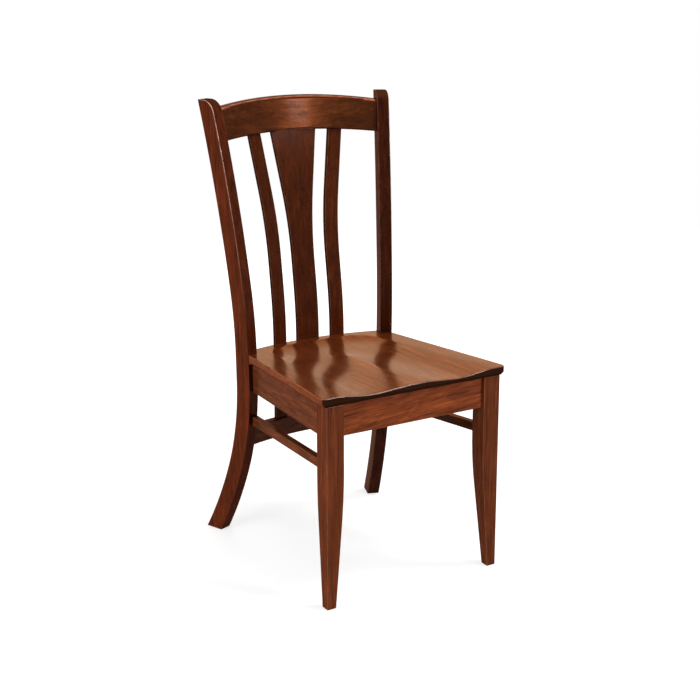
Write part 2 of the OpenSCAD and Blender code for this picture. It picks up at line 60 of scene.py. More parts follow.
Sockets = dict[str, NodeSocket]
Geom = Iterable[Union[BMVert, BMEdge, BMFace]]
Line = tuple[Vector, Vector]

LOG = logging.getLogger("side_chair")
MM = 0.001
BODY = "root"
FRONT_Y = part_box("front_leg_left")[0].y
WHITE = (1.0, 1.0, 1.0, 1.0)
ORIGIN = Vector((0, 0, 0))
UP = Vector((0, 0, 1))
QUARTER = math.pi / 2
SHARP = math.radians(30)
FLAT = math.radians(0.1)
SAME = 0.01  # millimetres under which two places are one

# Sizes in millimetres that several sub-assemblies share

SEAT_H = 460.0  # the seat's top over the floor, at its front edge
SEAT_W = 458.6  # the seat's front edge
LIP = 4.2  # how far the seat stands out before the front legs
POST_SPAN = 383.0  # between the posts' outer front corners, at the seat
POST_Y = 387.0  # depth of those corners
POST_W = 29.3  # a post's front face
SIDE_INSET = 0.5  # how far the seat's sides stay inside those corners
BOW_R = 552.0  # the bow of the back's rails
SLAT_Y = 451.2  # depth of the splat's front face under its bend


def srgb(*levels: int) -> Color:
    """Turns a screen colour into the linear colour that nodes use.

    Args:
        levels: Red, green and blue from 0 to 255.

    Returns:
        The colour as linear red, green, blue and alpha.
    """
    parts = [level / 255 for level in levels]
    linear = [p / 12.92 if p <= 0.04045 else ((p + 0.055) / 1.055) ** 2.4 for p in parts]
    return (*linear, 1.0)


def heading(angle: float) -> Vector:
    """Returns the level unit vector at an angle from X towards Y."""
    return Vector((math.cos(angle), math.sin(angle), 0))


def ramp(value: float, low: float, high: float) -> float:
    """Returns how far a value is on its way from low to high, from 0 to 1."""
    return max(0.0, min(1.0, (value - low) / (high - low)))


def eased(share: float) -> float:
    """Returns a share from 0 to 1 with soft ends."""
    return share * share * (3 - 2 * share)


def in_scene(name: str, data: ID) -> Object:
    """Puts a new object into the scene.

    Args:
        name: The object's name.
        data: Its mesh, lamp or camera.

    Returns:
        The object.
    """
    made = bpy.data.objects.new(name, data)
    bpy.context.scene.collection.objects.link(made)
    return made


# Node trees

SOCKET_KINDS = {"Vector": "Vector", "Dark": "Color", "Middle": "Color", "Light": "Color",
                "Bare": "Color", "Sawn": "Color", "Color": "Color"}
MARKS = {"Board": "board", "Arris": "arris", "End": "end_grain", "Soaked": "soaked", "Top": "top",
         "Front": "front"}


class Graph:
    """A node tree that is written node by node."""

    def __init__(self, tree: NodeTree) -> None:
        """Takes the tree of a material, a world or a group, and empties it."""
        self.tree = tree
        tree.nodes.clear()

    def add(self, kind: str, inputs: Optional[dict[Union[str, int], Value]] = None,
            **settings: object) -> Node:
        """Adds a node.

        Args:
            kind: The node's type, without the ShaderNode prefix where it has one.
            inputs: Values for its inputs, or sockets that feed them.
            settings: Properties of the node.

        Returns:
            The node.
        """
        prefix = "" if kind.startswith("NodeGroup") else "ShaderNode"
        made = self.tree.nodes.new(prefix + kind)
        for key, value in settings.items():
            setattr(made, key, value)
        for key, value in (inputs or {}).items():
            if isinstance(value, NodeSocket):
                self.tree.links.new(value, made.inputs[key])
            else:
                made.inputs[key].default_value = value
        return made

    def math(self, operation: str, *values: Value, clamp: bool = False) -> NodeSocket:
        """Adds a Math node and returns its output."""
        return self.add("Math", dict(enumerate(values)), operation=operation, use_clamp=clamp).outputs[0]

    def plus(self, first: Value, second: Value, clamp: bool = False) -> NodeSocket:
        """Returns the sum of two values."""
        return self.math("ADD", first, second, clamp=clamp)

    def minus(self, first: Value, second: Value) -> NodeSocket:
        """Returns the first value less the second."""
        return self.math("SUBTRACT", first, second)

    def times(self, first: Value, second: Value) -> NodeSocket:
        """Returns the product of two values."""
        return self.math("MULTIPLY", first, second)

    def vector(self, operation: str, *values: Value) -> NodeSocket:
        """Adds a Vector Math node and returns its vector."""
        return self.add("VectorMath", dict(enumerate(values)), operation=operation).outputs[0]

    def noise(self, place: Value, scale: float, detail: float, rough: float = 0.5,
              twist: float = 0.0) -> NodeSocket:
        """Adds a Noise Texture and returns its value."""
        return self.add("TexNoise", {"Vector": place, "Scale": scale, "Detail": detail,
                                     "Roughness": rough, "Distortion": twist}).outputs[0]

    def span(self, value: Value, low: float, high: float, to_low: float = 0.0,
             to_high: float = 1.0) -> NodeSocket:
        """Adds a smooth Map Range from low and high to new ends and returns its value."""
        return self.add("MapRange", {0: value, 1: low, 2: high, 3: to_low, 4: to_high},
                        interpolation_type="SMOOTHSTEP").outputs[0]

    def mix(self, share: Value, first: Value, second: Value, blend: str = "MIX") -> NodeSocket:
        """Adds a colour Mix node and returns its colour."""
        return self.add("Mix", {0: share, 6: first, 7: second}, data_type="RGBA", blend_type=blend,
                        clamp_factor=True).outputs[2]


@dataclass(frozen=True)
class Streaks:
    """A noise drawn out along the fibres.

    It shows from the level low up to the level high, and leaves the tone as it is at middle.
    """

    scale: float
    drawn: float
    detail: float
    rough: float = 0.5
    low: float = 0.3
    high: float = 0.7
    middle: float = 0.5
    twist: float = 0.0

    def noise(self, g: Graph, place: Value) -> NodeSocket:
        """Returns the noise at a place whose Z runs along the fibres."""
        drawn = g.vector("MULTIPLY", place, (1.0, 1.0, self.drawn))
        return g.noise(drawn, self.scale, self.detail, self.rough, self.twist)

    def mask(self, g: Graph, noise: NodeSocket) -> NodeSocket:
        """Returns how much of the noise shows, from 0 to 1."""
        return g.span(noise, self.low, self.high)

    def shade(self, g: Graph, noise: NodeSocket, share: Value) -> NodeSocket:
        """Returns what the noise adds to the wood's tone, or takes from it."""
        return g.times(g.minus(self.mask(g, noise), self.middle), share)


@dataclass(frozen=True)
class NodeGroup:
    """A shader node group, built once and placed in each wood with the wood's own values."""

    name: str
    takes: str
    gives: str

    def write(self, g: Graph, given: Sockets) -> Sockets:
        """Adds the group's own nodes to its graph, fed by its inputs, and returns its outputs."""
        raise NotImplementedError

    def tree(self) -> NodeTree:
        """Finds the group, or builds it where it isn't there yet.

        Returns:
            The group.
        """
        tree = bpy.data.node_groups.get(self.name)
        if tree:
            return tree
        tree = bpy.data.node_groups.new(self.name, "ShaderNodeTree")
        for way, labels in (("INPUT", self.takes), ("OUTPUT", self.gives)):
            for label in labels.split():
                kind = SOCKET_KINDS.get(label, "Float")
                tree.interface.new_socket(label, in_out=way, socket_type="NodeSocket" + kind)
        g = Graph(tree)
        g.add("NodeGroupOutput", self.write(g, g.add("NodeGroupInput").outputs))
        return tree


@dataclass(frozen=True)
class WoodGrain(NodeGroup):
    """The wood's fibres, growth bands, veins, pores and figure, with the fibres along Z."""

    name: str = "wood_grain"
    takes: str = "Vector Board Streak Figure Vein"
    gives: str = "Tone Pore Height"
    board_step: Triple = (3.7, 5.1, 2.3)
    wander: Streaks = Streaks(9.0, 0.35, 2.0)
    middle: Triple = (0.5, 0.5, 0.5)
    sway: Triple = (0.016, 0.016, 0.0)
    band: Streaks = Streaks(120.0, 0.045, 3.0, 0.6)
    fibre: Streaks = Streaks(620.0, 0.018, 2.0, 0.65, 0.25, 0.75)
    figure: Streaks = Streaks(42.0, 0.3, 6.0, 0.62, 0.3, 0.72, twist=1.1)
    pore: Streaks = Streaks(1500.0, 0.06, 1.0, low=0.62, high=0.74)
    vein: Streaks = Streaks(420.0, 0.02, 2.0, 0.55, 0.52, 0.64, middle=0.25)
    base_tone: float = 0.5
    fibre_share: float = 0.3
    fibre_height: float = 0.6
    band_height: float = 0.4

    def write(self, g: Graph, given: Sockets) -> Sockets:
        """Writes the fibres and their relief.

        Args:
            g: The group's graph.
            given: Its inputs.

        Returns:
            Its outputs.
        """
        place = g.vector("ADD", given["Vector"], g.vector("MULTIPLY", given["Board"], self.board_step))
        off_middle = g.vector("SUBTRACT", self.wander.noise(g, place), self.middle)
        bent = g.vector("ADD", place, g.vector("MULTIPLY", off_middle, self.sway))
        band, fibre, figure, pore, vein = (
            streaks.noise(g, bent) for streaks in (self.band, self.fibre, self.figure, self.pore, self.vein))
        tone = g.plus(self.figure.shade(g, figure, given["Figure"]), self.base_tone)
        tone = g.minus(tone, self.vein.shade(g, vein, given["Vein"]))
        lines = g.plus(self.band.shade(g, band, given["Streak"]),
                       self.fibre.shade(g, fibre, self.fibre_share))
        height = g.plus(g.times(fibre, self.fibre_height), g.times(band, self.band_height))
        return {"Tone": g.plus(lines, tone, clamp=True), "Pore": self.pore.mask(g, pore), "Height": height}


@dataclass(frozen=True)
class Stain(NodeGroup):
    """The stain's colour, with darker end grain and pores, a darkening that is partly board tone and partly
    painted shade, and paler arrises that are wear on most pieces and painted highlights on the posts and the
    crest.
    """

    name: str = "stain_color"
    takes: str = "Vector Tone Pore End Arris Wear Dark Middle Light Bare Sawn Soaked"
    gives: str = "Color"
    pore_share: float = 0.35
    end_share: float = 0.95
    soak_and_shade_dim: Color = (0.3, 0.3, 0.3, 1.0)
    patch: tuple[float, float] = (55.0, 3.0)
    patch_levels: Triple = (0.35, 0.65, 0.35)

    def write(self, g: Graph, given: Sockets) -> Sockets:
        """Writes the stain.

        Args:
            g: The group's graph.
            given: Its inputs.

        Returns:
            Its outputs.
        """
        low = g.mix(g.span(given["Tone"], 0.0, 0.5), given["Dark"], given["Middle"])
        color = g.mix(g.span(given["Tone"], 0.5, 1.0), low, given["Light"])
        color = g.mix(g.times(given["Pore"], self.pore_share), color, given["Dark"])
        # Darkening that is partly board tone and partly painted shade on chosen faces
        color = g.mix(given["Soaked"], color, g.mix(1.0, color, self.soak_and_shade_dim, "MULTIPLY"))
        color = g.mix(g.times(given["End"], self.end_share), color, given["Sawn"])
        patches = g.span(g.noise(given["Vector"], *self.patch), *self.patch_levels)
        # Pale arrises: wear on most pieces, painted highlights on the posts and the crest
        pale_arris = g.times(g.times(given["Arris"], patches), given["Wear"])
        return {"Color": g.mix(pale_arris, color, given["Bare"])}


@dataclass(frozen=True)
class Lacquer(NodeGroup):
    """The lacquer's uneven gloss, its sheen and the grain that shows through it."""

    name: str = "lacquer"
    takes: str = "Vector Height Pore End Roughness Sheen Polish Top Coat Rim Arris Front"
    gives: str = "Roughness Sheen Coat Height"
    cloud: tuple[float, float] = (18.0, 2.0)
    wiped: tuple[float, float] = (240.0, 2.0)
    cloud_rough: float = 0.10
    wiped_rough: float = 0.06
    mean_rough: float = 0.08
    end_rough: float = 0.12
    pore_sink: float = -0.5

    def write(self, g: Graph, given: Sockets) -> Sockets:
        """Writes the lacquer.

        Args:
            g: The group's graph.
            given: Its inputs.

        Returns:
            Its outputs.
        """
        end, arris = given["End"], given["Arris"]
        cloud, wiped = (g.noise(given["Vector"], *pattern) for pattern in (self.cloud, self.wiped))
        spread = g.plus(g.times(cloud, self.cloud_rough), g.times(wiped, self.wiped_rough))
        rough = g.plus(given["Roughness"], g.minus(spread, self.mean_rough))
        sheen = g.plus(given["Sheen"], g.times(given["Top"], given["Polish"]))
        coat = g.times(given["Coat"], g.minus(1.0, end))
        rubbed = g.times(g.times(arris, given["Front"]), given["Rim"])
        return {"Roughness": g.plus(rough, g.times(end, self.end_rough)),
                "Sheen": g.times(sheen, g.minus(1.0, g.math("MAXIMUM", end, arris))),
                "Coat": g.plus(coat, rubbed),
                "Height": g.plus(given["Height"], g.times(given["Pore"], self.pore_sink))}


# Finishes


class Grain(Enum):
    """Axis along which a piece's fibres run."""

    ACROSS = 0
    DEEP = 1
    UP = 2

    @property
    def axis(self) -> Vector:
        """Unit vector along the fibres."""
        return Vector([float(i == self.value) for i in range(3)])

    @property
    def turn(self) -> Triple:
        """Turn of a Mapping node that brings the fibres upright."""
        return ((0.0, QUARTER, 0.0), (QUARTER, 0.0, 0.0), (0.0, 0.0, 0.0))[self.value]


@dataclass(frozen=True)
class WoodFinish:
    """A stained and lacquered wood."""

    slot: str
    grain: Grain
    dark: Color = srgb(76, 34, 14)
    middle: Color = srgb(104, 48, 20)
    light: Color = srgb(134, 66, 32)
    bare: Color = srgb(170, 104, 66)
    sawn: Color = srgb(40, 22, 14)
    streak: float = 0.5
    figure: float = 0.35
    vein: float = 0.25
    tilt: float = 0.0
    wear: float = 0.35
    roughness: float = 0.22
    sheen: float = 0.12
    polish: float = 0.0
    warmth: Color = (1.0, 0.5, 0.35, 1.0)
    coat: float = 0.06
    rim: float = 0.15
    coat_ior: float = 1.7
    coat_roughness: float = 0.12
    relief: float = 0.00006

    def material(self) -> Material:
        """Makes the finish's material.

        Returns:
            The material.
        """
        made = bpy.data.materials.new(self.slot + "_lacquered")
        made.use_nodes = True
        g = Graph(made.node_tree)
        coords = g.add("TexCoord").outputs["Object"]
        turn = Vector(self.grain.turn) + Vector((0.0, self.tilt, 0.0))
        # A field feeds the group input that has its name, and so does an output of an earlier group
        values: dict[str, Value] = {name.title(): value for name, value in vars(self).items()}
        for label, name in MARKS.items():
            values[label] = g.add("Attribute", attribute_name=name).outputs["Fac"]
        values["Vector"] = g.add("Mapping", {"Vector": coords, "Rotation": turn}).outputs[0]
        for group in (WoodGrain(), Stain(), Lacquer()):
            inputs = {label: values[label] for label in group.takes.split()}
            placed = g.add("Group", inputs, node_tree=group.tree())
            values.update((socket.name, socket) for socket in placed.outputs)
            values["Vector"] = coords
        bump = g.add("Bump", {"Height": values["Height"], "Distance": self.relief, "Strength": 1.0})
        shader = g.add("BsdfPrincipled", {
            "Base Color": values["Color"], "Roughness": values["Roughness"], "Normal": bump.outputs[0],
            "Metallic": values["Sheen"], "Coat Weight": values["Coat"], "Coat IOR": self.coat_ior,
            "Coat Roughness": self.coat_roughness, "Specular IOR Level": 0.0,
            "Specular Tint": self.warmth})
        g.add("OutputMaterial", {"Surface": shader.outputs[0]})
        return made


@dataclass(frozen=True)
class SteelFinish:
    """Zinc-plated steel of the screws."""

    slot: str = "screw_steel"
    pale: Color = srgb(196, 196, 190)
    dull: Color = srgb(150, 148, 140)
    stain: tuple[float, float] = (420.0, 3.0)
    stain_levels: tuple[float, float] = (0.3, 0.7)
    wiped: tuple[float, float] = (900.0, 2.0)
    rough_levels: tuple[float, ...] = (0.2, 0.8, 0.28, 0.5)

    def material(self) -> Material:
        """Makes the finish's material.

        Returns:
            The material.
        """
        made = bpy.data.materials.new(self.slot + "_plated")
        made.use_nodes = True
        g = Graph(made.node_tree)
        coords = g.add("TexCoord").outputs["Object"]
        stains = g.span(g.noise(coords, *self.stain), *self.stain_levels)
        rough = g.span(g.noise(coords, *self.wiped), *self.rough_levels)
        shader = g.add("BsdfPrincipled", {"Base Color": g.mix(stains, self.pale, self.dull),
                                          "Roughness": rough, "Metallic": 1.0})
        g.add("OutputMaterial", {"Surface": shader.outputs[0]})
        return made


class Finish(Enum):
    """The chair's finishes, one for each material slot and fibre direction."""

    # The posts' pale bare colour at full wear paints a highlight along the outer front arris
    POST = WoodFinish("post_wood", Grain.UP, dark=srgb(60, 26, 11), middle=srgb(95, 40, 18),
                      light=srgb(122, 52, 26), bare=srgb(210, 160, 138), sawn=srgb(66, 32, 18),
                      wear=1.0, sheen=0.15, warmth=(1.0, 0.5, 0.34, 1.0), coat=0.035, rim=0.8)
    LEG = WoodFinish("leg_wood", Grain.UP, light=srgb(138, 68, 34), streak=0.3, figure=0.2, vein=0.45)
    # The crest's bare colour and wear paint highlights along its front roundings
    CREST = WoodFinish("crest_wood", Grain.ACROSS, dark=srgb(49, 22, 9), middle=srgb(68, 32, 14),
                       light=srgb(88, 44, 20), bare=srgb(186, 100, 64), streak=0.4, figure=0.4, wear=0.8,
                       roughness=0.27, sheen=0.52, warmth=(1.0, 0.72, 0.6, 1.0), coat=0.025, rim=0.4)
    SLAT = WoodFinish("slat_wood", Grain.UP, dark=srgb(48, 20, 10), middle=srgb(68, 29, 11),
                      light=srgb(90, 39, 17), streak=0.4, figure=0.3, sheen=0.09, coat=0.03)
    APRON = WoodFinish("apron_wood", Grain.ACROSS, middle=srgb(128, 61, 29), light=srgb(168, 83, 39),
                       streak=0.35, figure=0.5, vein=0.35, tilt=0.1)
    CROSS_RAIL = WoodFinish("rail_wood", Grain.ACROSS, dark=srgb(76, 37, 19),
                            middle=srgb(102, 51, 25), light=srgb(130, 68, 37))
    SIDE_RAIL = WoodFinish("rail_wood", Grain.DEEP, dark=srgb(76, 38, 20),
                           middle=srgb(103, 53, 27), light=srgb(132, 71, 40))
    SEAT = WoodFinish("seat_wood", Grain.DEEP, dark=srgb(86, 38, 16), middle=srgb(127, 60, 29),
                      light=srgb(158, 81, 42), sawn=srgb(42, 25, 16), streak=0.38, figure=0.26, vein=0.3,
                      roughness=0.2, sheen=0.08, polish=0.68, warmth=(1.0, 0.8, 0.59, 1.0), coat=0.07,
                      rim=0.6, relief=0.00014)
    BLOCK = WoodFinish("block_wood", Grain.ACROSS, dark=srgb(120, 84, 52), middle=srgb(166, 124, 80),
                       light=srgb(190, 152, 106), wear=0.0, roughness=0.6, sheen=0.0, coat=0.0, rim=0.0)
    STEEL = SteelFinish()


@cache
def material_of(finish: Finish) -> Material:
    """Returns the material of a finish, made once."""
    return finish.value.material()


# Mesh tools


def of_kind(geom: Geom, kind: type) -> list:
    """Returns the elements of one kind in an operator's result."""
    return [item for item in geom if isinstance(item, kind)]


def all_of(bm: BMesh) -> list:
    """Returns a mesh's vertices, edges and faces."""
    return bm.verts[:] + bm.edges[:] + bm.faces[:]


def rectangle(wide: float, high: float) -> BMesh:
    """Starts a mesh with one rectangle that lies flat.

    Args:
        wide: Its side along X, from the origin.
        high: Its side along Y, from the origin.

    Returns:
        The mesh.
    """
    bm = bmesh.new()
    bmesh.ops.create_grid(bm, x_segments=1, y_segments=1, size=0.5)
    bmesh.ops.translate(bm, vec=(0.5, 0.5, 0), verts=bm.verts)
    bmesh.ops.scale(bm, vec=(wide, high, 1), verts=bm.verts)
    return bm


def cut(bm: BMesh, point: Vector, normal: Vector, clear: bool = True, cap: bool = False) -> None:
    """Cuts the mesh with a plane.

    Args:
        bm: The mesh.
        point: A point on the plane.
        normal: The plane's normal; what lies on its side goes.
        clear: Whether that side is taken away.
        cap: Whether the cut is closed with a face.
    """
    made = bmesh.ops.bisect_plane(bm, geom=all_of(bm), dist=SAME / 2, plane_co=point,
                                  plane_no=normal, clear_outer=clear)
    if cap:
        bmesh.ops.holes_fill(bm, edges=of_kind(made["geom_cut"], BMEdge), sides=0)


def arrises(bm: BMesh, least: float = 0.0) -> list[BMEdge]:
    """Returns the sharp outer edges that are at least so many millimetres long."""
    return [e for e in bm.edges if e.is_manifold and e.is_convex and e.calc_face_angle() > SHARP
            and e.calc_length() >= least]


def rounded(bm: BMesh, geom: Geom, radius: float, segments: int, affect: str = "EDGES") -> list[BMFace]:
    """Rounds edges or corners, from radius millimetres away, and returns the new faces."""
    return bmesh.ops.bevel(bm, geom=list(geom), offset=radius, offset_type="OFFSET", segments=segments,
                           profile=0.5, affect=affect, clamp_overlap=True, material=-1)["faces"]


def ease(bm: BMesh, edges: Sequence[BMEdge], radius: float, segments: int = 3) -> None:
    """Rounds edges and marks the rounding as an arris, which the stain paints pale: as wear on most pieces,
    as a painted highlight on the posts.
    """
    mark_arris(bm, rounded(bm, edges, radius, segments))


def mark_arris(bm: BMesh, faces: Iterable[BMFace], border: float = 0.2) -> None:
    """Marks faces as an arris in a corner attribute.

    Args:
        bm: The mesh.
        faces: The faces.
        border: The mark's strength where the arris ends.
    """
    layer = bm.loops.layers.float.get("arris") or bm.loops.layers.float.new("arris")
    marked = set(faces)
    for face in marked:
        for loop in face.loops:
            loop[layer] = 1.0 if all(near in marked for near in loop.vert.link_faces) else border


def from_cad(node: str, merge: float = 0.002) -> BMesh:
    """Copies a CAD node's mesh, merged into whole faces, in the chair's millimetres.

    Args:
        node: The node.
        merge: Distance under which corners become one.

    Returns:
        The copy.
    """
    bm = bmesh.new()
    bm.from_mesh(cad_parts[node].data)
    place = Matrix.Scale(1 / MM, 4) @ Matrix.Translation((0, -FRONT_Y, 0))
    bm.transform(place)
    bmesh.ops.remove_doubles(bm, verts=bm.verts, dist=merge)
    bmesh.ops.dissolve_limit(bm, angle_limit=FLAT, verts=bm.verts, edges=bm.edges)
    return bm


def mirrored(bm: BMesh) -> BMesh:
    """Copies a mesh to the chair's other side.

    Args:
        bm: The mesh.

    Returns:
        The mirrored copy.
    """
    other = bm.copy()
    bmesh.ops.scale(other, vec=(-1, 1, 1), verts=other.verts)
    bmesh.ops.reverse_faces(other, faces=other.faces)
    return other


@dataclass(frozen=True)
class Piece:
    """A finished piece of the chair.

    Attributes:
        name: Its name.
        node: The CAD node that it stands for.
        finish: Its finish.
        board: A number that shifts the grain, so that no two boards look alike.
        soaked: How much darker the piece is made, from 0 to 1: partly board tone, partly painted shade.
        sides: The same for its faces that point across the chair, as painted shade on those faces.
        side: How far a normal points across the chair on a side.
        top: How far a normal points up where a face starts to be a top, and where it is one.
        front: The same for a front.
        end: The same along the fibres, for end grain.
        flat_weight: How strongly the large faces keep flat shading.
    """

    name: str
    node: str
    finish: Finish
    board: float = 0.0
    soaked: float = 0.0
    sides: float = 0.0
    side: float = 0.8
    top: tuple[float, float] = (0.8, 0.95)
    front: tuple[float, float] = (0.1, 0.3)
    end: tuple[float, float] = (0.45, 0.7)
    flat_weight: int = 80

    def dress(self, bm: BMesh) -> None:
        """Turns a mesh into the piece.

        Args:
            bm: The mesh, in the chair's millimetres; it is freed.
        """
        bm.normal_update()
        wood = self.finish.value
        grain = wood.grain.axis if isinstance(wood, WoodFinish) else ORIGIN
        board, ends, stain, tops, fronts = (
            bm.faces.layers.float.new(name) for name in ("board", "end_grain", "soaked", "top", "front"))
        for face in bm.faces:
            normal = face.normal
            face[board] = self.board
            # Painted shade: faces that point across the chair take the sides darkening, the others the
            # piece's own, which is partly board tone
            face[stain] = self.sides if abs(normal.x) > self.side else self.soaked
            face[tops] = ramp(normal.z, *self.top)
            face[fronts] = ramp(-normal.y, *self.front)
            face[ends] = ramp(abs(normal.dot(grain)), *self.end)
            face.smooth = True
        place = Matrix.Translation((0, FRONT_Y, 0)) @ Matrix.Scale(MM, 4)
        bm.transform(place)
        mesh = bpy.data.meshes.new(self.name)
        bm.to_mesh(mesh)
        bm.free()
        mesh.set_sharp_from_angle(angle=SHARP)
        mesh.materials.append(material_of(self.finish))
        piece = in_scene(self.name, mesh)
        flat_faces = piece.modifiers.new("flat_faces", "WEIGHTED_NORMAL")
        flat_faces.keep_sharp = True
        flat_faces.weight = self.flat_weight
        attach(piece, BODY)
        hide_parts(self.node)
        LOG.info("%s: %d faces for %s", self.name, len(mesh.polygons), self.node)


# Sub-assemblies


@dataclass
class RearPosts:
    """The two sabre posts, in one piece with the rear legs.

    A post is upright from low_z to high_z. Below, it bends back by low_a round a front face of
    radius low_r and goes on to foot_a at foot_r; above, it does so by high_a at high_r and goes on
    to top_a at top_r. It leans outwards and is toed in to face the bow's centre. Its outer front
    arris carries a painted highlight, paler towards its top, and whole is what the other arrises
    keep of their pale arris mark.
    """

    span: float = POST_SPAN
    depth: float = POST_Y
    width: float = POST_W
    thick: float = 40.0
    height: float = 1011.0
    lean: float = math.radians(0.94)
    toe: float = math.asin(POST_SPAN / 2 / BOW_R)
    low_z: float = 380.0
    low_r: float = 690.0
    low_a: float = math.radians(19.5)
    foot_r: float = 1000.0
    foot_a: float = math.radians(31.5)
    high_z: float = 440.0
    high_r: float = 1230.0
    high_a: float = math.radians(7.5)
    top_r: float = 4300.0
    top_a: float = math.radians(14.0)
    foot_steps: int = 10
    low_steps: int = 16
    high_steps: int = 8
    top_steps: int = 12
    top_ease: float = 26.0
    top_segments: int = 10
    clear_top: float = 45.0
    arris: float = 1.8
    # Where the painted highlight runs: the outer front arris, picked by its normal in the post's frame
    outer_arris: tuple[float, float] = (-0.9, -0.5)
    front_arris: float = 0.1
    highlight_rise: float = 1.5
    whole: float = 0.15

    def place(self) -> Matrix:
        """Works out the left post's own frame, with x across its front face and y into its depth.

        Returns:
            The frame, in the chair's.
        """
        return (Matrix.Translation((-self.span / 2, self.depth, SEAT_H))
                @ Matrix.Rotation(-self.lean, 4, "Y") @ Matrix.Translation((0, 0, -SEAT_H))
                @ Matrix.Rotation(self.toe, 4, "Z"))

    def inner_plane(self) -> Line:
        """Returns a point of the left post's inner face, and the way from there into the post."""
        place = self.place()
        return place @ Vector((self.width, 0, SEAT_H)), -(place.to_3x3() @ Vector((1, 0, 0)))

    def bend(self, bm: BMesh, section: Geom, centre: Vector, angle: float, steps: int) -> Geom:
        """Carries the post's section round a bend in steps and returns it as it is there."""
        return bmesh.ops.spin(bm, geom=list(section), cent=centre, axis=(1, 0, 0), angle=-angle,
                              steps=steps)["geom_last"]

    def left(self) -> BMesh:
        """Makes the left post, from its foot up.

        Returns:
            Its mesh.
        """
        low = Vector((0, self.low_r, self.low_z))
        down = Vector((0, math.cos(self.low_a), math.sin(self.low_a)))
        foot = low + (self.foot_r - self.low_r) * down
        high = Vector((0, self.high_r, self.high_z))
        up = Vector((0, math.cos(self.high_a), -math.sin(self.high_a)))
        bm = rectangle(self.width, self.thick)
        bmesh.ops.translate(bm, vec=(0, -self.foot_r, 0), verts=bm.verts)
        bmesh.ops.rotate(bm, cent=ORIGIN, matrix=Matrix.Rotation(self.foot_a, 3, "X"), verts=bm.verts)
        bmesh.ops.translate(bm, vec=foot, verts=bm.verts)
        section = self.bend(bm, all_of(bm), foot, self.foot_a - self.low_a, self.foot_steps)
        section = self.bend(bm, section, low, self.low_a, self.low_steps)
        straight = bmesh.ops.extrude_face_region(bm, geom=of_kind(section, BMFace))["geom"]
        bmesh.ops.translate(bm, vec=(0, 0, self.high_z - self.low_z), verts=of_kind(straight, BMVert))
        bmesh.ops.delete(bm, geom=of_kind(section, BMFace), context="FACES_ONLY")
        section = self.bend(bm, straight, high, self.high_a, self.high_steps)
        self.bend(bm, section, high + (self.top_r - self.high_r) * up, self.top_a - self.high_a,
                  self.top_steps)
        bmesh.ops.recalc_face_normals(bm, faces=bm.faces)
        self.finish_top(bm)
        bm.transform(self.place())
        cut(bm, ORIGIN, -UP, cap=True)
        bm.normal_update()
        ease(bm, arrises(bm), self.arris)
        bm.normal_update()
        self.paint_arris_highlight(bm)
        return bm

    def finish_top(self, bm: BMesh) -> None:
        """Cuts the top level and rounds its front edge.

        Args:
            bm: The left post's mesh in its own frame.
        """
        top = self.height - SAME
        cut(bm, self.height * UP, UP, cap=True)
        bm.normal_update()
        rings = [e for e in bm.edges if all(self.height - self.clear_top < v.co.z < top for v in e.verts)]
        bmesh.ops.dissolve_edges(bm, edges=rings, use_verts=True)
        across = [e for e in bm.edges if all(v.co.z > top for v in e.verts) and e.is_convex
                  and abs(e.verts[0].co.y - e.verts[1].co.y) < SAME]
        rounded(bm, [min(across, key=lambda e: e.verts[0].co.y)], self.top_ease, self.top_segments)

    def paint_arris_highlight(self, bm: BMesh) -> None:
        """Paints a highlight on the outer front arris, paler towards its top, and leaves the other arrises
        little of their pale arris mark.

        Args:
            bm: The left post's mesh, with its arrises marked.
        """
        layer = bm.loops.layers.float["arris"]
        turn = self.place().to_3x3().inverted()
        low, high = self.outer_arris
        strip = [f for f in bm.faces
                 if low < (turn @ f.normal).x < high and (turn @ f.normal).y < self.front_arris]
        pale_arris = {v for f in strip for v in f.verts}
        for face in bm.faces:
            for loop in face.loops:
                share = max(0.0, (loop.vert.co.z - SEAT_H) / (self.height - SEAT_H))
                loop[layer] *= share ** self.highlight_rise if loop.vert in pale_arris else self.whole

    def build(self) -> None:
        """Makes and dresses both posts."""
        bm = self.left()
        # Painted shade: the right post is darkened, its front more than its sides, and the left post's front
        # is darkened too
        Piece("post_right", "rear_post_right", Finish.POST, 0.83, soaked=0.98,
              sides=0.75).dress(mirrored(bm))
        Piece("post_left", "rear_post_left", Finish.POST, 0.58, soaked=0.65).dress(bm)


